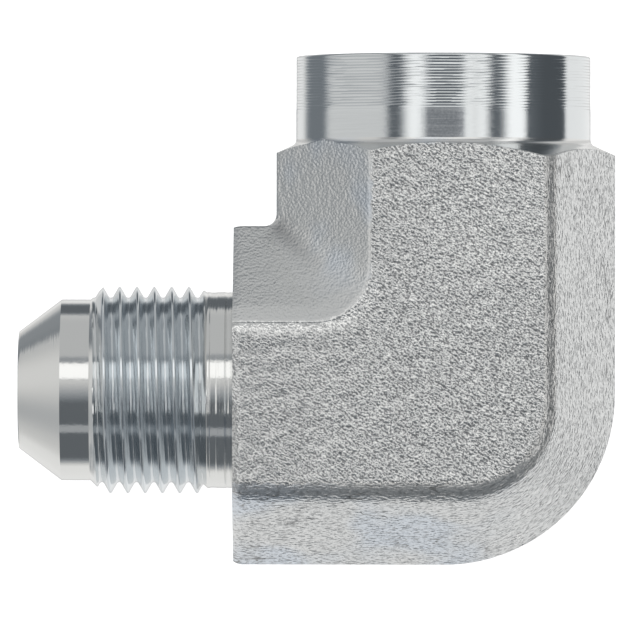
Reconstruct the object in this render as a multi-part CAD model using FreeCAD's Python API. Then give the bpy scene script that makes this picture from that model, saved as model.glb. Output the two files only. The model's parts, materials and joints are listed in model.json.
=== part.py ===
# Ninety-degree hydraulic adapter, one steel forging with two turned ends.
# A 37-degree flare end with a straight thread points along -X and a female
# taper pipe port opens along +Y. The elbow lies on its lower wrench pad, so
# both port axes are level, and the origin is on that pad below their crossing.
# All sizes are in millimetres. Thread forms are left off: the threaded
# lengths are blanks at the crest size of their threads.
import FreeCAD, Part

import math
import os

from FreeCAD import Vector

# Forging: the section of each arm is a six-sided bar with two wrench pads.
across_pads = 27.6
parting_land = 3.6
# Distances from a port axis out to the forging's silhouette, at the parting plane.
female_arm_inside = 15.3
female_arm_outside = 15.75
male_arm_inside = 15.05
male_arm_outside = 15.95
# Distances from a port axis out to the edges of the wrench pads.
female_pad_inside = 6.8
female_pad_outside = 9.5
male_pad_inside = 6.5
male_pad_outside = 9.3
# Corner radii of the elbow at the parting plane and at the pads.
heel_radius = 15.6
crotch_radius = 1.1
pad_heel_radius = 8.0
pad_crotch_radius = 5.0
# Rounding of the long edges of the wrench pads.
pad_outer_edge_radius = 1.5
pad_inner_edge_radius = 0.4

# Female end: turned collar, and the port bored into it.
female_face = 30.6
collar_diameter = 27.0
collar_length = 8.0
collar_rim_radius = 0.25
collar_root_radius = 0.6
shoulder_chamfer_angle = 25.0
port_mouth_diameter = 21.6
port_mouth_angle = 45.0
tap_drill_diameter = 18.26
tap_drill_depth = 19.6

# Male end: shoulder, thread blank, plain nose and flare cone.
male_face = 38.85
male_shoulder = 19.2
shoulder_edge_break = 0.3
thread_diameter = 18.9
thread_runout_length = 2.7
runout_diameter = 18.1
nose_diameter = 16.6
nose_length = 2.65
seat_angle = 37.0
seat_length = 3.9

# Drilled passages, which meet at the crossing of the port axes. Each drill
# point stops a little past the crossing, inside the other passage.
female_passage_diameter = 11.1
female_passage_overrun = 5.8
male_passage_diameter = 9.9
male_passage_overrun = 5.2
drill_point_angle = 118.0

# Overlap given to solids that are joined, and reach given to cutting tools.
overlap = 1.0

axis_height = across_pads / 2
collar_root = female_face - collar_length
tap_drill_end = female_face - tap_drill_depth
crossing = Vector(0, 0, axis_height)
female_direction = Vector(0, 1, 0)
male_direction = Vector(-1, 0, 0)


def rounded_wire(corners):
    """A closed wire through (point, radius) corners, each rounded by its radius."""
    count = len(corners)
    pieces = []
    for i, (corner, radius) in enumerate(corners):
        back = (corners[i - 1][0] - corner).normalize()
        ahead = (corners[(i + 1) % count][0] - corner).normalize()
        half_angle = back.getAngle(ahead) / 2
        reach = radius / math.tan(half_angle)
        middle = (back + ahead).normalize() * (radius / math.sin(half_angle) - radius)
        pieces.append((corner + back * reach, corner + middle, corner + ahead * reach))
    edges = []
    for i, (start, middle, end) in enumerate(pieces):
        if corners[i][1] > 0:
            edges.append(Part.Arc(start, middle, end).toShape())
        edges.append(Part.LineSegment(end, pieces[(i + 1) % count][0]).toShape())
    return Part.Wire(edges)


def turned(profile, direction):
    """A solid turned about a port axis from (distance from crossing, radius, rounding) corners."""
    corners = [
        (crossing + direction * distance + Vector(0, 0, radius), rounding)
        for distance, radius, rounding in profile
    ]
    return Part.Face(rounded_wire(corners)).revolve(crossing, direction, 360)


def plain(points):
    """Turned corners without rounding, from (distance, radius) pairs."""
    return [(distance, radius, 0) for distance, radius in points]


def elbow_outline(z, female_inside, female_outside, male_inside, male_outside, heel, crotch):
    """The outline of both arms at one height, from the offsets to each side of the port axes."""
    end = collar_root + overlap
    return rounded_wire([
        (Vector(-female_inside, end, z), 0),
        (Vector(female_outside, end, z), 0),
        (Vector(female_outside, -male_outside, z), heel),
        (Vector(-male_shoulder, -male_outside, z), 0),
        (Vector(-male_shoulder, male_inside, z), 0),
        (Vector(-female_inside, male_inside, z), crotch),
    ])


def parting_outline(z):
    return elbow_outline(
        z, female_arm_inside, female_arm_outside, male_arm_inside, male_arm_outside,
        heel_radius, crotch_radius,
    )


def pad_outline(z):
    return elbow_outline(
        z, female_pad_inside, female_pad_outside, male_pad_inside, male_pad_outside,
        pad_heel_radius, pad_crotch_radius,
    )


def pad_edges(half, pad_z, outer):
    """The long edges of a wrench pad on the heel side of the elbow, or on the crotch side."""
    chosen = []
    for edge in half.Edges:
        box = edge.BoundBox
        middle = edge.valueAt((edge.FirstParameter + edge.LastParameter) / 2)
        on_pad = abs(box.ZMin - pad_z) < 1e-6 and abs(box.ZMax - pad_z) < 1e-6
        at_end = box.YMin > collar_root or box.XMax < -male_shoulder + 1e-6
        on_heel_side = middle.x > 0 or middle.y < 0
        if on_pad and not at_end and on_heel_side == outer:
            chosen.append(edge)
    return chosen


def flanked_solid(lower, upper):
    """A solid between two outlines: flat flanks between straight edges, ruled ones between arcs."""
    faces = [Part.Face(lower), Part.Face(upper)]
    for low, high in zip(lower.Edges, upper.Edges):
        if isinstance(low.Curve, Part.Line):
            corners = [
                low.firstVertex().Point, low.lastVertex().Point,
                high.lastVertex().Point, high.firstVertex().Point,
            ]
            faces.append(Part.Face(Part.makePolygon(corners, True)))
        else:
            faces.append(Part.makeRuledSurface(low, high))
    shell = Part.makeShell(faces)
    shell.sewShape()
    return Part.Solid(shell.Shells[0])


def die_half():
    """The half of the forging that the upper die forms, from the parting land to the pad."""
    pad_z = axis_height + across_pads / 2
    land_z = axis_height + parting_land / 2
    half = flanked_solid(parting_outline(land_z), pad_outline(pad_z))
    half = half.makeFillet(pad_outer_edge_radius, pad_edges(half, pad_z, True))
    return half.makeFillet(pad_inner_edge_radius, pad_edges(half, pad_z, False))


def forging():
    """The six-sided elbow as it leaves the dies, with its trimmed parting land."""
    land_face = Part.Face(parting_outline(axis_height - parting_land / 2))
    land = land_face.extrude(Vector(0, 0, parting_land))
    upper_half = die_half()
    lower_half = upper_half.mirror(crossing, Vector(0, 0, 1))
    return land.fuse([upper_half, lower_half]).removeSplitter()


def shoulder_edges(body):
    """The edges round the faced shoulder of the male arm."""
    return [
        edge for edge in body.Edges
        if edge.BoundBox.XMax < -male_shoulder + 1e-6
    ]


def shoulder_chamfer_tool():
    """What the lathe takes off above the female arm: all outside the collar and its chamfer."""
    collar_radius = collar_diameter / 2
    clear_radius = 2 * max(female_arm_outside, female_arm_inside, axis_height)
    drop = (clear_radius - collar_radius) * math.tan(math.radians(shoulder_chamfer_angle))
    return turned([
        (collar_root, collar_radius, collar_root_radius),
        (female_face, collar_radius, 0),
        (female_face, clear_radius, 0),
        (collar_root - drop, clear_radius, 0),
    ], female_direction)


def collar():
    """The turned collar round the female port."""
    collar_radius = collar_diameter / 2
    return turned([
        (collar_root, 0, 0),
        (collar_root, collar_radius, 0),
        (female_face, collar_radius, collar_rim_radius),
        (female_face, 0, 0),
    ], female_direction)


def male_end():
    """The thread blank with its run-out, the plain nose and the flare cone."""
    thread_radius = thread_diameter / 2
    runout_radius = runout_diameter / 2
    nose_radius = nose_diameter / 2
    seat_start = male_face - seat_length
    nose_start = seat_start - nose_length
    thread_start = male_shoulder + thread_runout_length
    tip_radius = nose_radius - seat_length * math.tan(math.radians(seat_angle))
    return turned(plain([
        (male_shoulder - overlap, 0),
        (male_shoulder - overlap, runout_radius),
        (thread_start, runout_radius),
        (thread_start + thread_radius - runout_radius, thread_radius),
        (nose_start - thread_radius + nose_radius, thread_radius),
        (nose_start, nose_radius),
        (seat_start, nose_radius),
        (male_face, tip_radius),
        (male_face, 0),
    ]), male_direction)


def drill_point_length(diameter):
    return diameter / 2 / math.tan(math.radians(drill_point_angle / 2))


def port_tool():
    """The female port: chamfered mouth and the drilled bore that its taper thread is cut in."""
    mouth_radius = port_mouth_diameter / 2
    drill_radius = tap_drill_diameter / 2
    mouth_slope = math.tan(math.radians(port_mouth_angle))
    chamfer_depth = (mouth_radius - drill_radius) / mouth_slope
    return turned(plain([
        (female_face + overlap, 0),
        (female_face + overlap, mouth_radius + overlap * mouth_slope),
        (female_face - chamfer_depth, drill_radius),
        (tap_drill_end, drill_radius),
        (tap_drill_end - drill_point_length(tap_drill_diameter), 0),
    ]), female_direction)


def passage_tool(direction, start, diameter, overrun):
    """A drilled passage from a port to just past the crossing."""
    return turned(plain([
        (start, 0),
        (start, diameter / 2),
        (drill_point_length(diameter) - overrun, diameter / 2),
        (-overrun, 0),
    ]), direction)


def passages():
    """The two drillings that join the ports."""
    return [
        passage_tool(
            female_direction, tap_drill_end, female_passage_diameter, female_passage_overrun,
        ),
        passage_tool(
            male_direction, male_face + overlap, male_passage_diameter, male_passage_overrun,
        ),
    ]


def elbow_adapter():
    body = forging()
    body = body.makeChamfer(shoulder_edge_break, shoulder_edges(body))
    body = body.cut(shoulder_chamfer_tool())
    body = body.fuse([collar(), male_end()])
    return body.cut([port_tool()] + passages()).removeSplitter()


os.makedirs("parts", exist_ok=True)
adapter = elbow_adapter()
adapter.exportStep("parts/elbow_adapter.step")
box = adapter.optimalBoundingBox(True, False)
print("solids", len(adapter.Solids), "valid", adapter.isValid())
print("size", round(box.XLength, 2), round(box.YLength, 2), round(box.ZLength, 2))
print("volume cm3", round(adapter.Volume / 1000, 3))
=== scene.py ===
import json
import math

import bmesh
import bpy
import numpy as np
from bpy.props import FloatProperty, FloatVectorProperty, IntProperty, PointerProperty
from bpy.types import Operator, Panel, PropertyGroup
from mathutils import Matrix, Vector, noise


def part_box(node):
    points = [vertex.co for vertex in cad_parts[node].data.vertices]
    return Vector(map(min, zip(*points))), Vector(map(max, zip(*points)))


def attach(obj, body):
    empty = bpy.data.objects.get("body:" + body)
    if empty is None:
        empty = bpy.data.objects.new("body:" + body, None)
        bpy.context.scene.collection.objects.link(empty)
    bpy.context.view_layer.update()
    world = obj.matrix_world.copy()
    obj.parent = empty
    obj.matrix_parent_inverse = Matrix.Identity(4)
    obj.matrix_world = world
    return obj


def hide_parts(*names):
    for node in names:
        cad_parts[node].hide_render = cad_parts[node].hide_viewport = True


# Looks of a right-angle hydraulic adapter: a forged and blasted elbow with a
# turned collar round a taper pipe port, and a turned 37-degree flare end.
# Lengths are in metres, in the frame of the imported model.
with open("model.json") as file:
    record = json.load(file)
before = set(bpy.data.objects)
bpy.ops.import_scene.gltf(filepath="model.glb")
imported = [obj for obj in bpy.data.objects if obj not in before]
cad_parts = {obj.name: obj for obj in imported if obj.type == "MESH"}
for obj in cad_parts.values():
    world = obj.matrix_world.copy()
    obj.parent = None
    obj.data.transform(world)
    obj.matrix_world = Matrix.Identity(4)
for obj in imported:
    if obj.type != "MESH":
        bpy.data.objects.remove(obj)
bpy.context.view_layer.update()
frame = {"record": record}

bl_info = {
    "name": "Right-angle hydraulic adapter",
    "version": (1, 0, 0),
    "blender": (4, 5, 0),
    "location": "3D View > Sidebar > Adapter",
    "description": "Builds the forged skin, the turned ends with their threads and a small studio",
    "category": "Object",
}

MM = 0.001
NODE = "elbow_adapter"
LOW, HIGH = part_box(NODE)
MOUNTS = {mount["name"]: mount for mount in frame["record"]["mounts"]}
AXIS_HEIGHT = MOUNTS["female_port"]["pos_m"][2]
# Distance inside a pad, in millimetres, that stands for any place well outside it.
OFF_PAD = -3.0
PORT_RADIUS = MOUNTS["female_port"]["dims"]["r_mm"] * MM
THREAD_RADIUS = MOUNTS["male_thread"]["dims"]["r_mm"] * MM


def number(name, description, default, **kind):
    """A number property."""
    return FloatProperty(name=name, description=description, default=default, **kind)


def length(name, description, default):
    """A length property in metres."""
    return number(name, description, default, unit="LENGTH", precision=5)


def degrees(name, description, default):
    """An angle property, whose default is given in degrees."""
    return number(name, description, math.radians(default), subtype="ANGLE")


def factor(name, description, default):
    """A share from 0 to 1."""
    return number(name, description, default, subtype="FACTOR", min=0, max=1)


def colour(name, description, default):
    """A linear colour."""
    return FloatVectorProperty(
        name=name, description=description, default=default, subtype="COLOR", size=3, min=0, max=1
    )


class ForgingSizes(PropertyGroup):
    """Sizes of the forged elbow, measured from the port axes."""

    shoulder: length("Shoulder", "Port crossing to the faced shoulder of the male arm", 0.0192)
    female_arm_inside: length("Female arm inside", "Axis to the silhouette, crotch side", 0.0153)
    female_arm_outside: length("Female arm outside", "Axis to the silhouette, heel side", HIGH.x)
    male_arm_inside: length("Male arm inside", "Axis to the silhouette, crotch side", 0.01505)
    male_arm_outside: length("Male arm outside", "Axis to the silhouette, heel side", -LOW.y)
    female_pad_inside: length("Female pad inside", "Axis to the pad's edge, crotch side", 0.0068)
    female_pad_outside: length("Female pad outside", "Axis to the pad's edge, heel side", 0.0095)
    male_pad_inside: length("Male pad inside", "Axis to the pad's edge, crotch side", 0.0065)
    male_pad_outside: length("Male pad outside", "Axis to the pad's edge, heel side", 0.0093)
    half_height: length("Half height", "Parting plane to a wrench pad", AXIS_HEIGHT)
    parting_land: length("Parting land", "Height of the trimmed band at the parting plane", 0.0036)
    heel_radius: length("Heel radius", "Heel corner at the parting plane", 0.0156)
    pad_heel_radius: length("Pad heel radius", "Heel corner of a pad", 0.008)
    crotch_radius: length("Crotch radius", "Crotch corner at the parting plane", 0.0011)
    pad_crotch_radius: length("Pad crotch radius", "Crotch corner of a pad", 0.005)
    female_bevel_pad: length("Female bevel on pad", "Worn outer edge, over the pad", 0.00062)
    female_bevel_flank: length("Female bevel on flank", "Worn outer edge, down the flank", 0.0008)
    female_pad_radius: length("Female pad radius", "Rounding of that edge, pad side", 0.0009)
    female_flank_radius: length("Female flank radius", "Rounding of that edge, flank side", 0.0025)
    male_bevel_pad: length("Male bevel on pad", "Worn outer edge, over the pad", 0.0007)
    male_bevel_flank: length("Male bevel on flank", "Worn outer edge, down the flank", 0.0012)
    male_pad_radius: length("Male pad radius", "Rounding of that edge, pad side", 0.002)
    male_flank_radius: length("Male flank radius", "Rounding of that edge, flank side", 0.0028)
    rim_fall: length("Rim fall", "Drop of the male pad at its inner rim", 0.0003)
    rim_width: length("Rim width", "Width of that falling rim", 0.0015)
    inner_edge_radius: length("Inner edge radius", "Rounding of the pad's inner edge", 0.0009)
    end_width: length("End width", "Width of the rolled edge round the faced shoulder", 0.00085)
    end_depth_inside: length("End depth inside", "Depth of that edge, crotch side", 0.00014)
    end_depth_outside: length("End depth outside", "Depth of that edge, heel side", 0.0003)
    spacing: length("Mesh spacing", "Distance between the skin's points", 0.00027)
    pad_relief: length("Pad relief", "Depth of the waves in the pads", 0.00012)
    flank_relief: length("Flank relief", "Depth of the waves in the flanks", 0.00004)


class FemaleEndSizes(PropertyGroup):
    """Sizes of the turned collar and the taper pipe port."""

    face: length("Face", "Port crossing to the port's face", HIGH.y)
    collar_radius: length("Collar radius", "Outside of the collar", 0.0135)
    collar_root: length("Collar root", "Port crossing to the collar's foot", 0.0226)
    root_radius: length("Root radius", "Rounding at the collar's foot", 0.0006)
    rim_radius: length("Rim radius", "Rounding of the collar's rim", 0.00022)
    chamfer_angle: degrees("Chamfer angle", "Slope of the turned shoulder chamfer", 25)
    feed: length("Feed", "Distance between turning lines", 0.000262)
    groove: length("Groove", "Depth of the turning lines", 0.000026)
    ribbed_length: length("Ribbed length", "Length of collar with plain turning lines", 0.0052)
    mouth_radius: length("Mouth radius", "Chamfered mouth at the face", 0.0108)
    drill_radius: length("Drill radius", "Tap drill bore", PORT_RADIUS)
    drill_end: length("Drill end", "Port crossing to the bottom of the bore's wall", 0.011)
    pitch: length("Pitch", "Thread pitch, 14 turns to the inch", 0.0254 / 14)
    thread_radius: length("Thread radius", "Root of the thread at the face", 0.01061)
    threaded_length: length("Threaded length", "Face to the last trace of thread", 0.0165)
    segments: IntProperty(name="Segments", description="Points round the port", default=224)


class MaleEndSizes(PropertyGroup):
    """Sizes of the flare end."""

    face: length("Face", "Port crossing to the tip", -LOW.x)
    thread_radius: length("Thread radius", "Crest of the thread", THREAD_RADIUS)
    pitch: length("Pitch", "Thread pitch, 16 turns to the inch", 0.0254 / 16)
    crest_position: length("Crest position", "Port crossing to a crest on the upper side", 0.03084)
    thread_foot: length("Thread foot", "Port crossing to the thread's last trace", 0.0216)
    relief_radius: length("Relief radius", "Turned relief behind the thread", 0.00903)
    nose_radius: length("Nose radius", "Plain nose ahead of the thread", 0.0083)
    nose_foot: length("Nose foot", "Port crossing to the nose's foot", 0.0323)
    seat_foot: length("Seat foot", "Port crossing to the foot of the flare cone", 0.03495)
    tip_radius: length("Tip radius", "Outer edge of the tip", 0.00536)
    bore_radius: length("Bore radius", "Waterway through the flare end", 0.00495)
    segments: IntProperty(name="Segments", description="Points round the flare end", default=256)


class WaterwaySizes(PropertyGroup):
    """Sizes of the drillings that meet at the crossing."""

    female_radius: length("Female radius", "Drilling from the female port", 0.00555)
    female_overrun: length("Female overrun", "Its point, past the crossing", 0.0058)
    male_radius: length("Male radius", "Drilling from the flare end", 0.00495)
    male_overrun: length("Male overrun", "Its point, past the crossing", 0.0052)
    point_angle: degrees("Point angle", "Angle across a drill's point", 118)
    wall: length("Wall", "Thickness of the unseen metal round the drillings", 0.0024)


class FinishColours(PropertyGroup):
    """Colours and gloss of the zinc plating, with the greys that paint shade on it."""

    skin: colour("Skin", "Zinc on the blasted skin", (0.81, 0.815, 0.805))
    skin_cool: colour("Cool skin", "Faint blue passivation on the skin", (0.72, 0.77, 0.83))
    # A grey that paints shade into the skin: in the pits, over the pads, along the valley and on
    # the turned chamfer; it also darkens the cracks.
    skin_shade_and_cracks: colour("Dull skin", "Grey in the pits, cracks and creases", (0.27, 0.275, 0.28))
    skin_worn: colour("Worn skin", "Warm tone along the worn outer edges", (0.66, 0.63, 0.59))
    turned: colour("Turned", "Zinc on the turned ends", (0.735, 0.74, 0.73))
    turned_cool: colour("Cool turned", "Faint blue passivation on the threads", (0.60, 0.66, 0.71))
    # A grey that paints shade, standing for a dark reflection, on the collar's plain foot.
    turned_shade: colour("Dull turned", "Grey on the collar's plain foot", (0.23, 0.245, 0.27))
    skin_roughness: factor("Skin roughness", "Micro roughness of the blasted pads", 0.18)
    outer_roughness: factor("Outer roughness", "Micro roughness of the outer flanks", 0.29)
    inner_roughness: factor("Inner roughness", "Micro roughness of the inner flanks", 0.36)
    turned_roughness: factor("Turned roughness", "Micro roughness of the turned ends", 0.10)


class StudioSettings(PropertyGroup):
    """The camera, the floor and the light panels."""

    distance: length("Distance", "Camera to the plane of the port axes", 0.8)
    roll: degrees("Roll", "Turn of the camera about its view", 0.1)
    frame_width: length("Frame width", "Width seen by the camera at the port axes", 0.057955)
    centre_x: length("Centre X", "Port crossing to the centre of view, along X", -0.01165)
    centre_y: length("Centre Y", "Port crossing to the centre of view, along Y", 0.00681)
    panel_strength: number("Panel strength", "Strength of the light panels", 1.12)
    floor_half_width: length("Floor half width", "Half the width of the floor", 4.0)
    floor_glow: number("Floor glow", "Brightness added to the seen floor", 0.86)


class AdapterSettings(PropertyGroup):
    """All settings of the adapter."""

    forging: PointerProperty(type=ForgingSizes)
    female: PointerProperty(type=FemaleEndSizes)
    male: PointerProperty(type=MaleEndSizes)
    waterway: PointerProperty(type=WaterwaySizes)
    finish: PointerProperty(type=FinishColours)
    studio: PointerProperty(type=StudioSettings)


def settings():
    """The scene's adapter settings."""
    return bpy.context.scene.adapter_settings


class Wire:
    """A shader socket in a Python expression: each operator adds its Math node."""

    def __init__(self, sheet, socket):
        self.sheet = sheet
        self.socket = socket

    def math(self, operation, *terms):
        return self.sheet.node("ShaderNodeMath", {"operation": operation}, dict(enumerate(terms)))

    def __add__(self, other):
        return self.math("ADD", self, other)

    __radd__ = __add__

    def __sub__(self, other):
        return self.math("SUBTRACT", self, other)

    def __rsub__(self, other):
        return self.math("SUBTRACT", other, self)

    def __mul__(self, other):
        return self.math("MULTIPLY", self, other)

    __rmul__ = __mul__

    def __truediv__(self, other):
        return self.math("DIVIDE", self, other)

    def __abs__(self):
        return self.math("ABSOLUTE", self)

    def root(self):
        return self.math("SQRT", self)

    def at_least(self, other):
        return self.math("MAXIMUM", self, other)

    def rise(self, low, high):
        """A smooth step: 0 below low, 1 above high."""
        ends = {"From Min": low, "From Max": high, "Value": self}
        return self.sheet.node("ShaderNodeMapRange", {"interpolation_type": "SMOOTHSTEP"}, ends)

    def band(self, low, high, soft):
        """1 between low and high, 0 outside, with soft edges."""
        return self.rise(low - soft, low + soft) * (1 - self.rise(high - soft, high + soft))

    def pick(self, name):
        """Another output of the same node."""
        return Wire(self.sheet, self.socket.node.outputs[name])


class NodeSheet:
    """The emptied node tree of a material or world, with one method that adds any node."""

    def __init__(self, owner):
        owner.use_nodes = True
        self.tree = owner.node_tree
        self.tree.nodes.clear()

    def node(self, kind, options=None, values=None, output=0):
        """Adds a node, sets its options, then its sockets, and gives one of its outputs."""
        made = self.tree.nodes.new(kind)
        for name, option in (options or {}).items():
            setattr(made, name, option)
        for name, value in (values or {}).items():
            if isinstance(value, Wire):
                self.tree.links.new(value.socket, made.inputs[name])
            else:
                made.inputs[name].default_value = value
        return Wire(self, made.outputs[output]) if len(made.outputs) else None

    def attribute(self, name, output="Fac"):
        return self.node("ShaderNodeAttribute", {"attribute_name": name}, output=output)

    def stretched(self, vector, scale, turn=(0, 0, 0)):
        """A vector turned, then scaled along its own axes."""
        values = {"Vector": vector, "Rotation": turn}
        turned = self.node("ShaderNodeVectorRotate", {"rotation_type": "EULER_XYZ"}, values)
        return self.node("ShaderNodeVectorMath", {"operation": "MULTIPLY"}, {0: turned, 1: scale})

    def grain(self, vector, scale=1.0, detail=2.0, roughness=0.5, distortion=0.0):
        """Fractal noise from 0 to 1."""
        values = {
            "Vector": vector, "Scale": scale, "Detail": detail,
            "Roughness": roughness, "Distortion": distortion,
        }
        return self.node("ShaderNodeTexNoise", None, values)

    def blend(self, share, first, second):
        """A colour between two colours."""
        values = {"Factor": share}
        for socket, value in ((6, first), (7, second)):
            values[socket] = value if isinstance(value, Wire) else (*value, 1)
        return self.node("ShaderNodeMix", {"data_type": "RGBA"}, values, 2)


def metal(name, build):
    """A metal material, whose build function gives colour, roughness and height in millimetres."""
    material = bpy.data.materials.new(name)
    sheet = NodeSheet(material)
    base, roughness, height = build(sheet)
    normal = sheet.node("ShaderNodeBump", None, {"Strength": 1.0, "Distance": MM, "Height": height})
    values = {"Base Color": base, "Roughness": roughness, "Metallic": 1.0, "Normal": normal}
    shader = sheet.node("ShaderNodeBsdfPrincipled", None, values)
    sheet.node("ShaderNodeOutputMaterial", None, {"Surface": shader})
    return material


def turning_lines(sheet, place, along, spacing, streak):
    """Noise in rings round the X axis, 0, or the Y axis, 1: spacing apart and streak long."""
    scale = [1 / streak] * 3
    scale[along] = 1 / spacing
    return sheet.grain(sheet.stretched(place, tuple(scale)), 1.0, 3.0, 0.6)


def blasted_zinc(sheet):
    """Zinc on forged steel: coarse rippled pads, fine inner flanks and pitted outer flanks."""
    finish = settings().finish
    place = sheet.node("ShaderNodeTexCoord", output="Object")
    flow = sheet.attribute("flow", "Vector")
    pad_depth = sheet.attribute("pad_depth")
    outer = sheet.attribute("outer_side")
    turned = sheet.attribute("turned")
    crease = sheet.attribute("crease")

    ragged = sheet.grain(place, 1300, 3.0, 0.6)
    pad = (pad_depth + (ragged - 0.5) * 1.3).rise(-0.35, 0.0) * (1 - turned)
    outer_flank = (1 - pad) * outer * (1 - turned)
    inner_flank = (1 - pad) * (1 - outer) * (1 - turned)

    # The pads: short ripples that slant down to the right, with grit and hollows over them.
    slanted = sheet.stretched(place, (2500, 5600, 2500), (0, 0, math.radians(36)))
    ripples = sheet.grain(slanted, 1.0, 0.0, 0.5, 0.6) - 0.5
    grit = sheet.grain(place, 5200, 0.0) - 0.5
    hollows = sheet.grain(place, 1100, 1.0, 0.5) - 0.5
    spot = sheet.node("ShaderNodeSeparateXYZ", None, {0: place})
    strength = 0.5 + 0.5 * spot.rise(-0.020, 0.000)
    pad_height = (ripples * 0.095 + grit * 0.068 + hollows * 0.09) * strength
    # Painted shade in the low places of the ripples and grit.
    pad_pit_shade = 1 - (ripples + grit).rise(-0.25, 0.0)
    # Painted shade over the pads, darker towards the male end and a little lighter near the port;
    # none along the male pad's inner rim, which stays bright as a painted highlight.
    rim = (1 - outer) * (1 - pad_depth.rise(0.7, 1.4)) * (1 - spot.pick("Y").rise(0.009, 0.012))
    near_port = 0.08 * spot.pick("Y").rise(0.002, 0.014) * spot.rise(-0.008, 0.008)
    pad_shade = (0.48 - 0.32 * strength - near_port) * (1 - rim)

    # The outer flanks: a fine skin with small pits drawn out along the arms, and a few cracks.
    drawn = sheet.grain(sheet.stretched(flow, (2000, 4500, 1)), 1.0, 0.0, 0.5, 0.4) - 0.5
    outer_height = drawn * 0.062 + grit * 0.028 + hollows * 0.07
    # Painted shade in the small pits of the outer flanks.
    outer_pit_shade = 1 - (drawn + grit * 0.5).rise(-0.24, -0.02)
    seams = sheet.grain(sheet.stretched(flow, (160, 520, 1)), 1.0, 2.0, 0.6, 0.3)
    cracked = sheet.grain(place, 210, 1.0).rise(0.55, 0.62)
    cracks = (1 - abs(seams - 0.5).rise(0.004, 0.014)) * cracked

    # The inner flanks: smoother, with a fine grain that looks even from above.
    even = sheet.grain(sheet.stretched(place, (4600, 4600, 2000)), 1.0, 0.0) - 0.5
    inner_height = (even * 0.066 + hollows * 0.04) * (0.8 + 0.2 * spot.pick("Y").rise(0.012, 0.017))
    lathe = turning_lines(sheet, place, 1, 0.00006, 0.02) * 0.012

    height = pad_height * pad + outer_height * outer_flank
    height = height + inner_height * inner_flank + lathe * turned

    # Faint blue patches, dark cracks, a warmer tone on the worn edges, and painted shade in pits,
    # creases and over the pads.
    patches = sheet.grain(place, 95, 2.0, 0.5).rise(0.48, 0.66) * (1 - pad)
    patches = patches * (1 - spot.rise(-0.001, 0.008)) + outer_flank * 0.12
    base = sheet.blend(patches, finish.skin, finish.skin_cool)
    dull = (pad_pit_shade * strength * 0.75 + pad_shade) * pad
    # Painted shade in the outer pits and a little over all the outer flanks, and dark cracks.
    dull = dull + (outer_pit_shade * 0.5 + cracks * 0.8 + 0.12) * outer_flank
    # Painted shade along the valley between the inner flanks, and on the turned chamfer and faced
    # shoulder.
    dull = dull + crease * 0.7 + turned * 0.2
    base = sheet.blend(dull, base, finish.skin_shade_and_cracks)
    worn_edge = pad_depth.band(-1.6, 0.0, 0.25) * outer
    base = sheet.blend(worn_edge * 0.3, base, finish.skin_worn)

    clouds = sheet.grain(place, 260, 3.0, 0.6) - 0.5
    flanks = outer_flank * finish.outer_roughness + inner_flank * finish.inner_roughness
    flanks = flanks + worn_edge * (1 - pad) * 0.04
    pads = (finish.skin_roughness + 0.1 - 0.1 * strength) * pad
    roughness = pads + flanks + 0.12 * turned + clouds * 0.1
    return base, roughness, height


def turned_zinc(along, grit):
    """Zinc on turned steel: rings round the X axis, 0, or Y axis, 1, with grit in millimetres."""

    def build(sheet):
        finish = settings().finish
        place = sheet.node("ShaderNodeTexCoord", output="Object")
        cool = sheet.attribute("cool")
        fine = turning_lines(sheet, place, along, 0.00007, 0.012)
        broad = turning_lines(sheet, place, along, 0.0003, 0.006)
        specks = sheet.grain(place, 4800, 1.0, 0.6)
        height = fine * 0.006 + broad * 0.012 + specks * grit
        base = sheet.blend(cool, finish.turned, finish.turned_cool)
        # Painted shade on the collar's plain foot, broken up by the turning lines and specks.
        dull = sheet.attribute("dull") * (broad * 0.8 + specks * 0.5)
        base = sheet.blend(dull, base, finish.turned_shade)
        roughness = finish.turned_roughness + (broad - 0.5) * 0.06 + (specks - 0.5) * 0.08
        roughness = roughness + 0.06 * cool.rise(0.4, 0.55)
        return base, roughness, height

    return build


def unit(vectors):
    """Each vector scaled to a length of one."""
    return vectors / np.linalg.norm(vectors, axis=-1, keepdims=True)


def between(first, last, steps):
    """Points from each first row to each last row, without the last."""
    share = np.linspace(0, 1, steps, endpoint=False)[None, :, None]
    return first[:, None] * (1 - share) + last[:, None] * share


def rounding(corner, before, after, radius, steps):
    """An arc at each corner, tangent to the lines that lead to before and after."""
    back = unit(before - corner)
    ahead = unit(after - corner)
    half = np.arccos(np.clip((back * ahead).sum(1, keepdims=True), -1, 1)) / 2
    radius = np.asarray(radius).reshape(-1, 1)
    centre = corner + unit(back + ahead) * radius / np.sin(half)
    start = corner + back * radius / np.tan(half) - centre
    end = corner + ahead * radius / np.tan(half) - centre
    turn = (math.pi - 2 * half)[:, None]
    share = np.linspace(0, 1, steps)[None, :, None]
    swept = np.sin((1 - share) * turn) * start[:, None] + np.sin(share * turn) * end[:, None]
    return centre[:, None] + swept / np.sin(turn)


def corner_arc(x, y, z, radius, steps):
    """The rounded corner of an outline that comes from -X and leaves towards +Y."""
    angle = np.linspace(0, math.pi / 2, steps)
    return np.stack([
        x - radius + radius * np.sin(angle),
        y + radius - radius * np.cos(angle),
        np.full(steps, z),
    ], 1)


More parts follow.
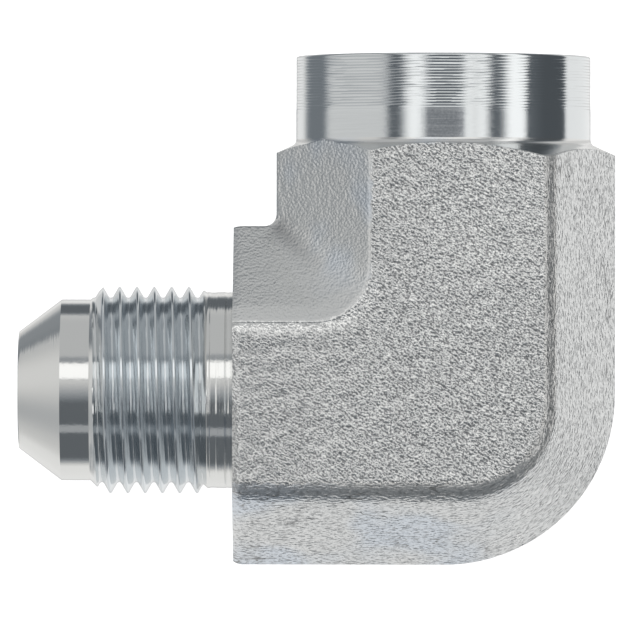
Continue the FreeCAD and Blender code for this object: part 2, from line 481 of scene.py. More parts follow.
def closed_mesh(name, grid, attributes, partners=None):
    """A mesh from a grid of points that closes both ways, with named values on its points.

    Where rows follow a thread, partners gives the row that each row meets after a full turn.
    """
    rows, columns = grid.shape[:2]
    index = np.arange(rows * columns).reshape(rows, columns)
    after_turn = index[:, 0] if partners is None else index[partners, 0]
    wide = np.column_stack([index, after_turn])
    tall = np.vstack([wide, wide[:1]])
    corners = [tall[:-1, :-1], tall[:-1, 1:], tall[1:, 1:], tall[1:, :-1]]
    quads = np.stack(corners, -1).reshape(-1, 4)

    mesh = bpy.data.meshes.new(name)
    mesh.from_pydata((grid.reshape(-1, 3) + [0, 0, AXIS_HEIGHT]).tolist(), [], quads.tolist())
    for key, values in attributes.items():
        vector = values.ndim == 3
        layer = mesh.attributes.new(key, "FLOAT_VECTOR" if vector else "FLOAT", "POINT")
        layer.data.foreach_set("vector" if vector else "value", values.astype(np.float32).ravel())
    same_place = 0.0004 * MM
    work = bmesh.new()
    work.from_mesh(mesh)
    bmesh.ops.remove_doubles(work, verts=work.verts, dist=same_place)
    bmesh.ops.dissolve_degenerate(work, edges=work.edges, dist=same_place)
    bmesh.ops.recalc_face_normals(work, faces=work.faces)
    work.to_mesh(mesh)
    work.free()
    return mesh


def linked(name, data):
    """A new object in the scene."""
    made = bpy.data.objects.new(name, data)
    bpy.context.scene.collection.objects.link(made)
    return made


def add_piece(name, mesh, material, sharp_angle):
    """An object for a mesh, smooth but for its sharp edges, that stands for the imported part."""
    mesh.shade_smooth()
    mesh.set_sharp_from_angle(angle=math.radians(sharp_angle))
    mesh.materials.append(material)
    piece = linked(name, mesh)
    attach(piece, "root")
    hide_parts(NODE)


def shoulder_surface(radius):
    """Distance from the crossing to the turned shoulder chamfer, at each radius from its axis."""
    female = settings().female
    slope = math.tan(female.chamfer_angle)
    fillet = female.root_radius
    cone = female.collar_root - (radius - female.collar_radius) * slope
    centre = female.collar_root - fillet * slope + fillet / math.cos(female.chamfer_angle)
    reach = np.clip(female.collar_radius + fillet - radius, 0, fillet)
    tangent = female.collar_radius + fillet * (1 - math.sin(female.chamfer_angle))
    return np.where(radius > tangent, cone, centre - np.sqrt(fillet ** 2 - reach ** 2))


def skin_waves(points, scales, seed):
    """Smooth noise from -1 to 1 at each point, with its own scale along each axis."""
    offset = np.array([seed * 7.3, seed * 3.1, seed * 5.7])
    placed = (points.reshape(-1, 3) * scales + offset).tolist()
    return np.array([noise.noise(place) for place in placed]).reshape(points.shape[:-1])


def half_section(forging, feet, pads, edge, flank_steps, pad_steps):
    """One half of the section at each station, from the outer foot over the pad to the inner foot.

    edge gives the worn outer edge: its reach down the flank and over the pad, and its two radii.
    Also gives each point's distance inside the pad, and its distance round the section.
    """
    edge_steps = 6
    down, over, down_radius, over_radius = edge
    on_flank = pads[0] + unit(feet[0] - pads[0]) * down[:, None]
    on_pad = pads[0] + unit(pads[1] - pads[0]) * over[:, None]
    lower_edge = rounding(on_flank, feet[0], on_pad, down_radius, edge_steps)
    upper_edge = rounding(on_pad, on_flank, pads[1], over_radius, edge_steps)
    inner_edge = rounding(pads[1], pads[0], feet[1], forging.inner_edge_radius, 9)
    points = np.concatenate([
        between(feet[0], lower_edge[:, 0], flank_steps),
        lower_edge,
        upper_edge[:, :-1],
        between(upper_edge[:, -1], inner_edge[:, 0], pad_steps),
        inner_edge[:, :-1],
        between(inner_edge[:, -1], feet[1], flank_steps),
        feet[1][:, None],
    ], 1)
    steps = np.linalg.norm(np.diff(points, axis=1), axis=2)
    around = np.concatenate([np.zeros((len(points), 1)), steps.cumsum(1)], 1)
    outer_limit = around[:, flank_steps + 2 * edge_steps - 3][:, None]
    inner_limit = around[:, flank_steps + 2 * edge_steps + pad_steps][:, None]
    return points, around - outer_limit, inner_limit - around, around


def elbow_sections(forging):
    """Closed sections through the bend of the elbow, from the male arm's start to the female arm's.

    Gives their points, each point's distance inside the pad's outer and inner edge, its distance
    round the section, and which side it is on.
    """
    stations = round(math.pi / 2 * forging.heel_radius / forging.spacing) + 1

    def corners(height, outer, inner):
        return [corner_arc(x, y, height, radius, stations) for x, y, radius in (outer, inner)]

    feet = corners(
        forging.parting_land / 2,
        (forging.female_arm_outside, -forging.male_arm_outside, forging.heel_radius),
        (-forging.female_arm_inside, forging.male_arm_inside, forging.crotch_radius),
    )
    pads = corners(
        forging.half_height,
        (forging.female_pad_outside, -forging.male_pad_outside, forging.pad_heel_radius),
        (-forging.female_pad_inside, forging.male_pad_inside, forging.pad_crotch_radius),
    )
    edge = [np.linspace(first, last, stations) for first, last in (
        (forging.male_bevel_flank, forging.female_bevel_flank),
        (forging.male_bevel_pad, forging.female_bevel_pad),
        (forging.male_flank_radius, forging.female_flank_radius),
        (forging.male_pad_radius, forging.female_pad_radius),
    )]
    flank_width = 0.013
    pad_width = 0.015
    flank_steps = round(flank_width / forging.spacing)
    pad_steps = round(pad_width / forging.spacing)
    land_steps = 8
    upper = half_section(forging, feet, pads, edge, flank_steps, pad_steps)
    # The half that faces the table has fewer points.
    fewer = round(flank_steps * 0.7), round(pad_steps * 0.55)
    lower = half_section(forging, feet, pads, edge, *fewer)
    under = lower[0][:, ::-1] * [1, 1, -1]
    inner_land = between(upper[0][:, -1], under[:, 0], land_steps)[:, 1:]
    outer_land = between(under[:, -1], upper[0][:, 0], land_steps)[:, 1:]
    sections = np.concatenate([upper[0], inner_land, under, outer_land], 1)
    off_pad = np.full((stations, land_steps - 1), OFF_PAD * MM)
    ends = [
        np.concatenate([above, off_pad, below[:, ::-1], off_pad], 1)
        for above, below in zip(upper[1:3], lower[1:3])
    ]
    over_land = (0.5 - np.abs(np.arange(1, land_steps) / land_steps - 0.5)) * forging.parting_land
    over_land = np.broadcast_to(over_land, off_pad.shape)
    around = [upper[3], upper[3][:, -1:] + over_land, lower[3][:, ::-1], -over_land]
    around = np.concatenate(around, 1)
    outer = np.concatenate([
        np.arange(upper[0].shape[1]) < upper[0].shape[1] / 2, np.zeros(land_steps - 1),
        np.arange(under.shape[1]) > under.shape[1] / 2, np.ones(land_steps - 1),
    ])
    return (sections, *ends, around, np.broadcast_to(outer, around.shape).astype(float))


def straight_arms(forging, first, last):
    """Rows of the male arm up to the bend's first row, and of the female arm on from its last."""
    arm_length = 0.0215
    stations = round(arm_length / forging.spacing)

    # The male arm begins with the close rows of the rolled edge at its shoulder.
    rolled = forging.end_width * np.linspace(0, 1, 6)[:-1]
    share = np.linspace(0, 1, stations, endpoint=False)[:, None]
    start_x = -forging.shoulder
    after_edge = start_x + forging.end_width
    male_x = np.concatenate([
        np.broadcast_to(start_x + rolled[:, None], (len(rolled), len(first))),
        after_edge + share * (first[:, 0] - after_edge),
    ])
    male = np.broadcast_to(first, (len(male_x), *first.shape)).copy()
    male[:, :, 0] = male_x

    # The female arm ends at the turned shoulder chamfer.
    end_y = shoulder_surface(np.hypot(last[:, 0], last[:, 2]))
    share = np.linspace(0, 1, stations + 1)[1:, None]
    female = np.broadcast_to(last, (stations, *last.shape)).copy()
    female[:, :, 1] = last[:, 1] + share * (end_y - last[:, 1])
    return male, female


def outward(skin):
    """The direction straight out of the metal at each point of the skin."""
    across = np.roll(skin, -1, 1) - np.roll(skin, 1, 1)
    normal = unit(np.cross(across, np.gradient(skin, axis=0)))
    return -normal if normal[0, :, 1:].ravel() @ skin[0, :, 1:].ravel() < 0 else normal


def sunk_depth(forging, skin, from_outer, from_inner, outer, rim_share):
    """How far the skin sinks at each point, always inwards, from its outline in the dies."""
    # Waves of the forged skin: short and slanting in the pads, broad in the flanks.
    pad = np.clip(np.minimum(from_outer, from_inner) / (0.4 * MM) + 0.5, 0, 1)
    slanted = skin @ np.array([[0.91, -0.41, 0], [0.41, 0.91, 0], [0, 0, 1]])
    coarse = skin_waves(slanted, [500, 1150, 500], 1)
    coarse += 0.5 * skin_waves(slanted, [1100, 2100, 1100], 2)
    swell = skin_waves(skin, [130] * 3, 3) + 0.6 * skin_waves(skin, [420] * 3, 4)
    sink = pad * forging.pad_relief * (1 - 0.8 * coarse) / 2

    # The falling rim of the male pad, and the rolled edge at the male shoulder.
    inside_rim = np.clip(1 - from_inner / forging.rim_width, 0, 1) ** 2
    inside_rim *= np.clip(1 + from_inner / (2.5 * MM), 0, 1)
    sink += forging.rim_fall * inside_rim * rim_share
    sink += forging.flank_relief * (1 - 0.6 * swell) / 2
    roll = 1 - np.clip((skin[:, :, 0] + forging.shoulder) / forging.end_width, 0, 1)
    end_depth = forging.end_depth_inside * (1 - outer) + forging.end_depth_outside * outer
    return sink + end_depth * roll ** 2


def chamfer_rows(female, edge):
    """Rows of the turned chamfer, from the skin's edge in to the rounding at the collar's foot."""
    x, z = edge[:, 0], edge[:, 2]
    across = np.hypot(x, z)
    centre = female.collar_radius + female.root_radius
    first_sine = (centre - across) / female.root_radius
    first_sine = np.clip(first_sine, math.sin(female.chamfer_angle), 1)
    rounding_start = np.minimum(across, centre - female.root_radius * first_sine)
    first_angle = np.arcsin(first_sine)
    radii = [across + (rounding_start - across) * share for share in np.linspace(0, 1, 7)[1:]]
    radii += [
        centre - female.root_radius * np.sin(first_angle + (math.pi / 2 - first_angle) * share)
        for share in np.linspace(0, 1, 13)[1:]
    ]
    radii.append(np.full(len(across), female.collar_radius - 0.05 * MM))
    return [
        np.stack([x * radius / across, shoulder_surface(radius), z * radius / across], 1)
        for radius in radii
    ]


def faced_rows(edge, inner_radius):
    """Rows of the male arm's faced shoulder, from under the flare end out to the skin's edge."""
    x, y, z = edge.T
    radial = np.hypot(y, z)
    scales = [
        (radial + (inner_radius - radial) * share) / radial for share in np.linspace(1, 0, 7)[:-1]
    ]
    return [np.stack([x, y * scale, z * scale], 1) for scale in scales]


def wall_rows(skin, turns, male_radius, female_radius):
    """Rows of an unseen wall that closes the skin inside, clear of the drillings.

    turns gives each row's share of the way round the bend.
    """
    wall = []
    for row in range(len(skin) - 1, -1, -len(skin) // 26):
        points, turn = skin[row], turns[row]
        along_male = np.concatenate([points[:, :1], unit(points[:, 1:]) * male_radius], 1)
        side = unit(points[:, [0, 2]]) * female_radius
        along_female = np.stack([side[:, 0], points[:, 1], side[:, 1]], 1)
        wall.append(along_male * (1 - turn) + along_female * turn)
    return wall


def valley_shade_amount(skin, outer):
    """Painted shade along the valley between the inner flanks, from the crotch down: how dark it
    is.
    """
    x, y = skin[:, :, 0], skin[:, :, 1]
    crotch_x, crotch_y = 15.6 * MM, 15.4 * MM
    from_corner = (x + crotch_x - y + crotch_y) / math.sqrt(2)
    from_valley = (x + crotch_x + y - crotch_y) / math.sqrt(2)
    crease = np.exp(-(from_valley / MM) ** 2) * np.clip(1.1 - from_corner / (6 * MM), 0, 1)
    return crease * (np.clip(from_corner / (0.6 * MM), 0, 1) * (1 - outer))


class AdapterForging(Operator):
    """Builds the forged elbow's skin, with its turned shoulder chamfer and faced male shoulder"""

    bl_idname = "adapter.forging"
    bl_label = "Forged elbow"

    def execute(self, context):
        forging = settings().forging
        female = settings().female
        bend, *marks = elbow_sections(forging)
        male_arm, female_arm = straight_arms(forging, bend[0], bend[-1])
        skin = np.concatenate([male_arm, bend, female_arm])
        from_outer, from_inner, around, outer = (
            np.concatenate([
                np.broadcast_to(mark[0], male_arm.shape[:2]), mark,
                np.broadcast_to(mark[-1], female_arm.shape[:2]),
            ])
            for mark in marks
        )

        # The male pad's falling rim fades out half way round the bend.
        past_male = np.arange(len(skin)) - len(male_arm)
        rim_share = np.clip(1 - past_male / (0.5 * len(bend)), 0, 1)[:, None]
        sink = sunk_depth(forging, skin, from_outer, from_inner, outer, rim_share)
        skin = skin - outward(skin) * sink[:, :, None]
        skin[-1, :, 1] = shoulder_surface(np.hypot(skin[-1, :, 0], skin[-1, :, 2]))

        inner_radius = 0.0086
        turns = np.clip(past_male / len(bend), 0, 1)
        faced = faced_rows(skin[0], inner_radius)
        chamfer = chamfer_rows(female, skin[-1])
        wall = wall_rows(skin, turns, inner_radius, female.collar_radius - 1.2 * MM)
        grid = np.concatenate([faced, skin, chamfer, wall])
        beyond = ((len(faced), len(chamfer) + len(wall)), (0, 0))

        def padded(values, ends=0.0):
            return np.pad(values, beyond, constant_values=ends)

        pad_depth = np.minimum(from_outer - 0.55 * MM * rim_share, from_inner) / MM
        along = np.linalg.norm(np.diff(skin, axis=0, prepend=skin[:1]), axis=2).cumsum(0)
        attributes = {
            "pad_depth": padded(pad_depth, OFF_PAD),
            "outer_side": padded(outer),
            "turned": padded(np.zeros(outer.shape), 1.0),
            "crease": padded(valley_shade_amount(skin, outer)),
            "flow": np.stack([padded(along), padded(around), padded(outer)], 2),
        }
        mesh = closed_mesh("forged_elbow", grid, attributes)
        add_piece("forged_elbow", mesh, metal("blasted_zinc", blasted_zinc), 40)
        return {"FINISHED"}


def thread_rows(start, end, crest, pitch, profile):
    """Positions of helical rows over a thread, from one turn before its start to its end.

    profile lists each row's place as a share of the pitch, measured from a crest.
    """
    first = math.floor((start - pitch - crest) / pitch) - 1
    last = math.ceil((end - crest) / pitch) + 1
    rows = np.array([
        crest + (turn + share) * pitch for turn in range(first, last) for share in profile
    ])
    rows = rows[(rows > start - pitch) & (rows < end)]
    return np.concatenate([[start - pitch], rows, [end]])


def turned_grid(distance, radius, axis, side):
    """Points at each distance along axis and radius round it, each turn starting at side."""
    angle = np.arange(distance.shape[1]) * 2 * math.pi / distance.shape[1]
    third = np.cross(axis, side)
    around = np.cos(angle)[:, None] * side + np.sin(angle)[:, None] * third
    return distance[:, :, None] * np.array(axis) + radius[:, :, None] * around


def rings(profile, segments):
    """Distances and radii of plain rings from a list of (distance, radius) corners."""
    corners = np.array(profile)
    return (
        np.broadcast_to(corners[:, :1], (len(corners), segments)),
        np.broadcast_to(corners[:, 1:], (len(corners), segments)),
    )


def fine(profile, step):
    """A profile with points added, so that no two are further apart than step."""
    points = [profile[0]]
    for start, end in zip(profile, profile[1:]):
        count = max(1, math.ceil(math.dist(start, end) / step))
        points += [
            (start[0] + (end[0] - start[0]) * i / count, start[1] + (end[1] - start[1]) * i / count)
            for i in range(1, count + 1)
        ]
    return points


def threaded_grid(axis, before, thread, after, positions, pitch):
    """A turned grid with rows that follow a thread, and the row each row meets after a full turn.

    thread and each of the plain stretches before and after it are pairs of distances and radii.
    """
    distance, radius = (np.concatenate(part) for part in zip(*before, thread, *after))
    first = sum(len(stretch[0]) for stretch in before)
    helical = np.searchsorted(positions, positions + pitch - 1e-9).clip(0, len(positions) - 1)
    partners = np.arange(len(distance))
    partners[first:first + len(positions)] = first + helical
    return distance, turned_grid(distance, radius, axis, (0, 0, 1)), partners


def collar_outside(female, angle):
    """The collar's outside, with a groove for each turn of the tool, and how ribbed it is there."""
    ribs_from = female.face - female.ribbed_length
    top = female.face - female.rim_radius
    plain = np.linspace(female.collar_root - 0.4 * MM, ribs_from, 12, endpoint=False)
    ribs = np.arange(ribs_from, top, female.feed / 7)
    outside = np.concatenate([plain, ribs, [top]])[:, None] + np.zeros(len(angle))
    ribbed = np.clip((outside - ribs_from) / (0.5 * MM), 0, 1)
    sides = [female.collar_radius * turn(angle) + outside * 0 for turn in (np.sin, np.cos)]
    places = np.stack([outside, *sides], 2)
    depth = female.groove * (1 + 0.55 * skin_waves(places, [4100, 260, 260], 5)) * ribbed
    wander = 0.05 * female.feed * skin_waves(places, [300, 500, 500], 6)
    ridge = np.sin(math.pi * ((outside + wander) / female.feed % 1) ** 0.6)
    return outside, female.collar_radius - depth * ridge, ribbed


def port_thread(female, angle):
    """The taper thread: right-handed, flattened at its crests by the drilled bore.

    Gives its rows' positions, from the face inwards, and their distances and radii.
    """
    inward_start = -female.face
    inward_end = -(female.face - female.threaded_length)
    profile = np.array([0.0, 0.05, 0.13, 0.21, 0.29, 0.38, 0.5, 0.62, 0.71, 0.79, 0.87, 0.95])
    positions = thread_rows(inward_start, inward_end, inward_start, female.pitch, profile)
    travel = positions[:, None] - female.pitch * angle / (2 * math.pi) + female.pitch
    inward = np.clip(travel, inward_start, inward_end)
    from_face = inward - inward_start
    phase = (positions[:, None] - inward_start) / female.pitch % 1
    from_root = np.abs(phase - 0.5) * female.pitch
    root_radius = female.thread_radius - from_face / 32
    fade = np.clip((female.threaded_length - from_face) / (3.2 * MM), 0, 1)
    flank = np.maximum(from_root - 0.08 * MM, 0) * math.sqrt(3)
    cut = np.maximum(root_radius - flank - female.drill_radius, 0) * fade
    radius = np.maximum(female.drill_radius + cut, female.mouth_radius - from_face)
    return positions, -inward, radius


class AdapterFemaleEnd(Operator):
    """Builds the turned collar with its turning lines, and the chamfered and threaded port"""

    bl_idname = "adapter.female_end"
    bl_label = "Collar and pipe port"

    def execute(self, context):
        female = settings().female
        count = female.segments
        angle = np.arange(count) * 2 * math.pi / count
        outside, outside_radius, ribbed = collar_outside(female, angle)
        positions, inward, thread = port_thread(female, angle)

        # The rim and the face, and below the thread the bore's wall and the unseen metal round it.
        top = female.face - female.rim_radius
        rim = [
            (
                top + female.rim_radius * math.sin(turn),
                female.collar_radius - female.rim_radius * (1 - math.cos(turn)),
            )
            for turn in np.linspace(0, math.pi / 2, 6)
        ]
        face = fine([rim[-1], (female.face, female.mouth_radius)], 0.4 * MM)[1:]
        base = female.collar_root - 0.4 * MM
        bottom = female.drill_end - 0.5 * MM
        sleeve = female.drill_radius + settings().waterway.wall
        below = fine([
            (female.face - female.threaded_length, female.drill_radius),
            (bottom, female.drill_radius), (bottom, sleeve), (base, sleeve),
        ], 1.5 * MM)[1:]

        # Inward rows run against the axis, so they follow the thread backwards round it.
        distance, grid, partners = threaded_grid(
            (0, 1, 0), [(outside, outside_radius), rings(rim[1:] + face, count)],
            (inward, thread), [rings(below, count)], positions, -female.pitch,
        )

        # Painted shade, standing for a dark reflection, on the plain foot of the collar, above and
        # below.
        off_middle = np.abs((angle + math.pi / 2) % math.pi - math.pi / 2)
        dull = np.zeros(distance.shape)
        dull[:len(outside)] = (1 - ribbed) * np.clip((0.145 - off_middle) / 0.03, 0, 1)
        attributes = {"cool": np.full(distance.shape, 0.35), "dull": dull}
        mesh = closed_mesh("pipe_collar", grid, attributes, partners)
        add_piece("pipe_collar", mesh, metal("turned_zinc_collar", turned_zinc(1, 0.0012)), 32)
        return {"FINISHED"}


def flare_thread(male, angle, foot_radius):
    """The straight thread: flat crests, 60-degree flanks and rounded roots.

    Gives its rows' positions, and their distances and radii.
    """
    crest_half = male.pitch / 16
    root_round = 0.144 * male.pitch
    root_half = root_round * 0.866
    root_centre = (male.pitch / 2 - crest_half) * math.sqrt(3) - 2 * root_round
    shares = np.array([0.0, 0.045, 0.075, 0.13, 0.2, 0.28, 0.36, 0.4, 0.44, 0.47])
    profile = np.concatenate([shares, [0.5], 1 - shares[:0:-1]])
    start, end = male.thread_foot, male.nose_foot
    positions = thread_rows(start, end, male.crest_position - male.pitch, male.pitch, profile)
    travel = positions[:, None] + male.pitch * angle / (2 * math.pi)
    along = np.clip(travel, start, end)

    phase = (positions[:, None] - male.crest_position) / male.pitch % 1
    from_crest = np.minimum(phase, 1 - phase) * male.pitch
    flank = np.maximum(from_crest - crest_half, 0) * math.sqrt(3)
    from_root = np.minimum(male.pitch / 2 - from_crest, root_half)
    root = root_centre + np.sqrt(root_round ** 2 - from_root ** 2)
    edge_round = np.maximum(0.03 * MM - np.abs(from_crest - crest_half), 0) * 0.5
    in_root = male.pitch / 2 - from_crest < root_half
    cut = np.where(in_root, np.minimum(root, flank), flank) + edge_round

    # The thread starts at the nose and runs out at the relief, between a roof and a floor.
    lead_in = male.nose_radius + (end - along)
    run_out = foot_radius + (along - start) * 0.6
    roof = np.minimum(lead_in, run_out)
    floor = foot_radius - (along - start) * 0.9
    radius = np.maximum(np.minimum(male.thread_radius - cut, roof), floor)
    radius[along <= start] = foot_radius
    radius[along >= end] = male.nose_radius
    return positions, along, radius


class AdapterMaleEnd(Operator):
    """Builds the flare end: relief, rolled-in straight thread, nose, 37-degree seat and bore"""

    bl_idname = "adapter.male_end"
    bl_label = "Flare end"

    def execute(self, context):
        male = settings().male
        count = male.segments
        angle = np.arange(count) * 2 * math.pi / count

        # The unseen sleeve inside the forging, and the slightly rough relief.
        hidden = settings().forging.shoulder - 0.6 * MM
        inner_end = 0.014
        sleeve = 0.0074
        foot_radius = male.relief_radius - 0.06 * MM
        relief = fine([
            (inner_end, male.bore_radius), (inner_end, sleeve), (hidden, sleeve),
            (hidden, foot_radius),
        ], 0.5 * MM)
        for place in np.arange(hidden, male.thread_foot, 0.055 * MM)[1:]:
            rough = 0.035 * noise.noise((place * 2100, 3.7, 1.1))
            rough += 0.025 * noise.noise((place * 5100, 1.3, 5.2))
            relief.append((place, foot_radius + rough * MM))

        bore_edge = (male.face - 0.05 * MM, male.bore_radius)
        tip = fine([
            (male.nose_foot, male.nose_radius), (male.seat_foot, male.nose_radius),
            (male.face - 0.04 * MM, male.tip_radius + 0.03 * MM),
            (male.face, male.tip_radius - 0.02 * MM),
            (male.face, male.bore_radius + 0.05 * MM), bore_edge,
        ], 0.3 * MM)[1:]
        bore = fine([bore_edge, (inner_end, male.bore_radius)], 2 * MM)[1:-1]

        positions, along, radius = flare_thread(male, angle, foot_radius)
        distance, grid, partners = threaded_grid(
            (-1, 0, 0), [rings(relief[1:], count)], (along, radius), [rings(tip + bore, count)],
            positions, male.pitch,
        )
        ramp = np.clip((distance - male.thread_foot) / (0.8 * MM), 0, 1)
        cool = ramp * np.clip((male.nose_foot - distance) / (1.2 * MM), 0, 1) * 0.55
        mesh = closed_mesh("flare_end", grid, {"cool": cool}, partners)
        add_piece("flare_end", mesh, metal("turned_zinc_flare", turned_zinc(0, 0.003)), 32)
        return {"FINISHED"}


def rod(axis, start, end, radius, tip):
    """A closed round rod along axis from start to end, with a cone from there to its tip."""
    segments = 96
    work = bmesh.new()
    grid = turned_grid(*rings([(start, radius), (end, radius)], segments), axis, (0, 0, 1))
    near, far = [[work.verts.new(point) for point in row] for row in grid]
    for i in range(segments):
        work.faces.new((near[i - 1], near[i], far[i], far[i - 1]))
    for place, row in ((start, near), (tip, far)):
        centre = work.verts.new(Vector(axis) * place)
        for i in range(segments):
            work.faces.new((row[i - 1], row[i], centre))
    bmesh.ops.recalc_face_normals(work, faces=work.faces)
    bmesh.ops.translate(work, verts=work.verts, vec=(0, 0, AXIS_HEIGHT))
    mesh = bpy.data.meshes.new("rod")
    work.to_mesh(mesh)
    work.free()
    return linked("rod", mesh)


def combine(base, tool, operation):
    """Applies a boolean to base and removes the tool."""
    modifier = base.modifiers.new(operation, "BOOLEAN")
    modifier.operation = operation
    modifier.solver = "EXACT"
    modifier.object = tool
    bpy.context.view_layer.update()
    graph = bpy.context.evaluated_depsgraph_get()
    mesh = bpy.data.meshes.new_from_object(base.evaluated_get(graph))
    base.modifiers.clear()
    base.data = mesh
    bpy.data.objects.remove(tool)


class AdapterWaterway(Operator):
    """Builds the bottom of the port and the two drillings that meet at the crossing"""

    bl_idname = "adapter.waterway"
    bl_label = "Drilled waterway"

    def execute(self, context):
        sizes = settings().waterway
        female = settings().female
        point = math.tan(sizes.point_angle / 2)
        female_axis, male_axis = (0, 1, 0), (-1, 0, 0)

        # The unseen metal round the drillings, from the port's bottom and from the flare end.
        top, back = female.drill_end, -0.0078
        reach = 0.0155
        thick = female.drill_radius + sizes.wall - 0.1 * MM
        arm = sizes.male_radius + sizes.wall - 0.1 * MM
        body = rod(female_axis, top, back, thick, back)
        combine(body, rod(male_axis, reach, 0, arm, 0), "UNION")

        bottom = top - female.drill_radius / point
        for axis, start, radius, tip in (
            (female_axis, top + MM, female.drill_radius, bottom),
            (female_axis, top, sizes.female_radius, -sizes.female_overrun),
            (male_axis, reach + MM, sizes.male_radius, -sizes.male_overrun),
        ):
            combine(body, rod(axis, start, tip + radius / point, radius, tip), "DIFFERENCE")
        mesh = body.data
        bpy.data.objects.remove(body)
        layer = mesh.attributes.new("cool", "FLOAT", "POINT")
        layer.data.foreach_set("value", [0.4] * len(mesh.vertices))
        add_piece("drilled_waterway", mesh, metal("drilled_zinc", turned_zinc(1, 0.003)), 30)
        return {"FINISHED"}


def studio_light(sheet):
    """Brightness of the studio in each direction: light panels overhead between dark gaps.

    The direction is laid out flat: 0 is straight up, 1 from there is the horizon and more is
    below it.
    """
    direction = sheet.node("ShaderNodeTexCoord", output="Generated")
    x = sheet.node("ShaderNodeSeparateXYZ", None, {0: direction})
    lift = (1 + x.pick("Z")).at_least(0.02)
    rise = x.pick("Y") / lift
    side = x / lift + 0.12 * rise
    soft = 0.018

    middle = (0.44 + 2.1 * rise) * side.band(-0.16, 0.12, 0.012) * rise.band(-0.18, 0.12, soft)
    strip = rise.band(-0.24, 0.33, soft)
    left_strip = 1.08 * side.rise(-0.335, -0.235) * (1 - side.rise(-0.155, -0.13)) * strip
    right_strip = (1.06 - 0.22 * side.band(0.185, 0.235, 0.02)) * side.band(0.118, 0.315, 0.015)
    right_strip = right_strip * strip
    top_panel = 1.15 * side.band(-0.16, 0.145, soft) * rise.band(0.12, 0.315, soft)
    far_strip = 1.15 * side.rise(0.39, 0.50) * (1 - side.rise(0.645, 0.685))
    far_strip = far_strip * rise.band(-0.5, 0.9, 0.05)
    low_strip = 0.40 * side.band(-0.5, 0.4, 0.05) * rise.band(-0.53, -0.41, soft)
    glow = 0.48 + 0.24 * rise.rise(-0.33, 0.15) - 0.15 * rise.rise(0.25, 0.65)
    glow = glow + 0.13 * (1 - rise.rise(-0.8, -0.36))
    left_wall = glow * (1 - side.rise(-0.43, -0.39))
    back_wall = (0.34 + 0.19 * rise.rise(0.37, 0.41)) * rise.rise(0.29, 0.32)
    back_wall = back_wall * side.band(-0.43, 0.45, 0.05)
    dim = 0.15 - 0.05 * side.rise(0.62, 0.95)
    light = middle
    for panel in (
        left_strip, right_strip, top_panel, far_strip, low_strip, left_wall, back_wall, dim,
    ):
        light = light.at_least(panel)

    # Below the horizon lies the pale table, with the adapter's dark side towards the back left.
    outward = (side * side * 0.55 + rise * rise).root()
    table = outward.rise(1.08, 1.6).at_least(side.rise(1.36, 1.5))
    reach = (side * side * 0.72 + rise * rise * 0.58 - side * rise * 0.4).root()
    dark = reach.rise(1.03, 1.2) * (1 - reach.rise(1.8, 2.7)) * (rise - side).rise(0.1, 0.9)
    far_side = rise.rise(0.5, 1.1) * (1 - rise.rise(2.4, 3.6))
    table_level = 0.84 + 0.08 * side.rise(0.4, 1.3) - 0.25 * outward.rise(3, 9) - 0.22 * far_side
    light = light * (1 - table) + table_level * table
    leftward = 1 - side.rise(-1.0, -0.2)
    dark_level = 0.15 + (0.07 + 0.08 * rise.rise(0.4, 1.2)) * leftward
    return light * (1 - dark) + dark_level * dark


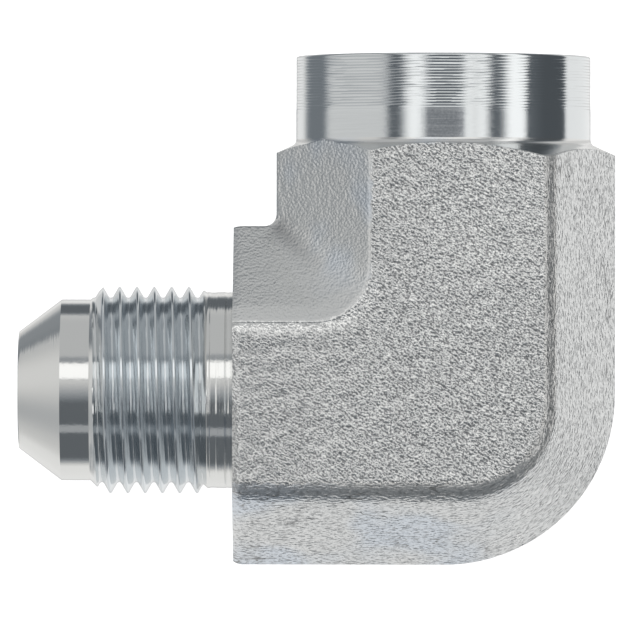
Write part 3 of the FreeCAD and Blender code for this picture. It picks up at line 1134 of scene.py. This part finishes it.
class AdapterStage(Operator):
    """Sets the camera over the adapter, the pale floor under it and the light panels round it"""

    bl_idname = "adapter.stage"
    bl_label = "Studio"

    def execute(self, context):
        studio = settings().studio
        scene = context.scene
        scene.view_settings.view_transform = "Standard"

        camera_data = bpy.data.cameras.new("camera")
        camera = linked("camera", camera_data)
        camera.location = (studio.centre_x, studio.centre_y, AXIS_HEIGHT + studio.distance)
        camera.rotation_euler.z = studio.roll
        camera_data.lens = camera_data.sensor_width * studio.distance / studio.frame_width
        camera_data.clip_start = 0.01
        scene.camera = camera

        scene.world = bpy.data.worlds.new("studio")
        sheet = NodeSheet(scene.world)
        seen = sheet.node("ShaderNodeLightPath", output="Is Camera Ray")
        panels = studio_light(sheet)
        tint = sheet.blend(panels.rise(0.05, 0.7), (0.82, 0.91, 1.0), (1.0, 0.995, 0.985))
        strength = seen + (1 - seen) * panels * studio.panel_strength
        values = {"Color": sheet.blend(seen, tint, (1, 1, 1)), "Strength": strength}
        background = sheet.node("ShaderNodeBackground", None, values)
        sheet.node("ShaderNodeOutputWorld", None, {"Surface": background})

        material = bpy.data.materials.new("pale_floor")
        sheet = NodeSheet(material)
        seen = sheet.node("ShaderNodeLightPath", output="Is Camera Ray")
        glow = {
            "Base Color": (0.8, 0.8, 0.8, 1), "Roughness": 1.0, "Specular IOR Level": 0.0,
            "Emission Color": sheet.blend(seen, (0, 0, 0), (1, 1, 1)),
            "Emission Strength": studio.floor_glow,
        }
        shader = sheet.node("ShaderNodeBsdfPrincipled", None, glow)
        sheet.node("ShaderNodeOutputMaterial", None, {"Surface": shader})

        half = studio.floor_half_width
        mesh = bpy.data.meshes.new("floor")
        corners = [(-half, -half, 0), (half, -half, 0), (half, half, 0), (-half, half, 0)]
        mesh.from_pydata(corners, [], [(0, 1, 2, 3)])
        mesh.materials.append(material)
        floor = linked("floor", mesh)
        # The metal sees the world's table below the horizon instead of this plane.
        floor.visible_glossy = False
        floor.visible_shadow = False
        return {"FINISHED"}


class AdapterPanel(Panel):
    """Lists the adapter's pieces and settings"""

    bl_idname = "ADAPTER_PT_pieces"
    bl_label = "Adapter"
    bl_space_type = "VIEW_3D"
    bl_region_type = "UI"
    bl_category = "Adapter"

    def draw(self, context):
        groups = settings()
        for operator in PIECES:
            self.layout.operator(operator.bl_idname)
        for name in ("forging", "female", "male", "waterway", "finish", "studio"):
            group = getattr(groups, name)
            box = self.layout.box()
            box.label(text=name.capitalize())
            for key in group.__annotations__:
                box.prop(group, key)


PIECES = (AdapterForging, AdapterFemaleEnd, AdapterMaleEnd, AdapterWaterway, AdapterStage)
CLASSES = (
    ForgingSizes, FemaleEndSizes, MaleEndSizes, WaterwaySizes, FinishColours, StudioSettings,
    AdapterSettings, *PIECES, AdapterPanel,
)


def register():
    for made in CLASSES:
        bpy.utils.register_class(made)
    bpy.types.Scene.adapter_settings = PointerProperty(type=AdapterSettings)


def unregister():
    del bpy.types.Scene.adapter_settings
    for made in reversed(CLASSES):
        bpy.utils.unregister_class(made)


def main():
    register()
    bpy.ops.adapter.forging()
    bpy.ops.adapter.female_end()
    bpy.ops.adapter.male_end()
    bpy.ops.adapter.waterway()
    bpy.ops.adapter.stage()


if __name__ == "__main__":
    main()
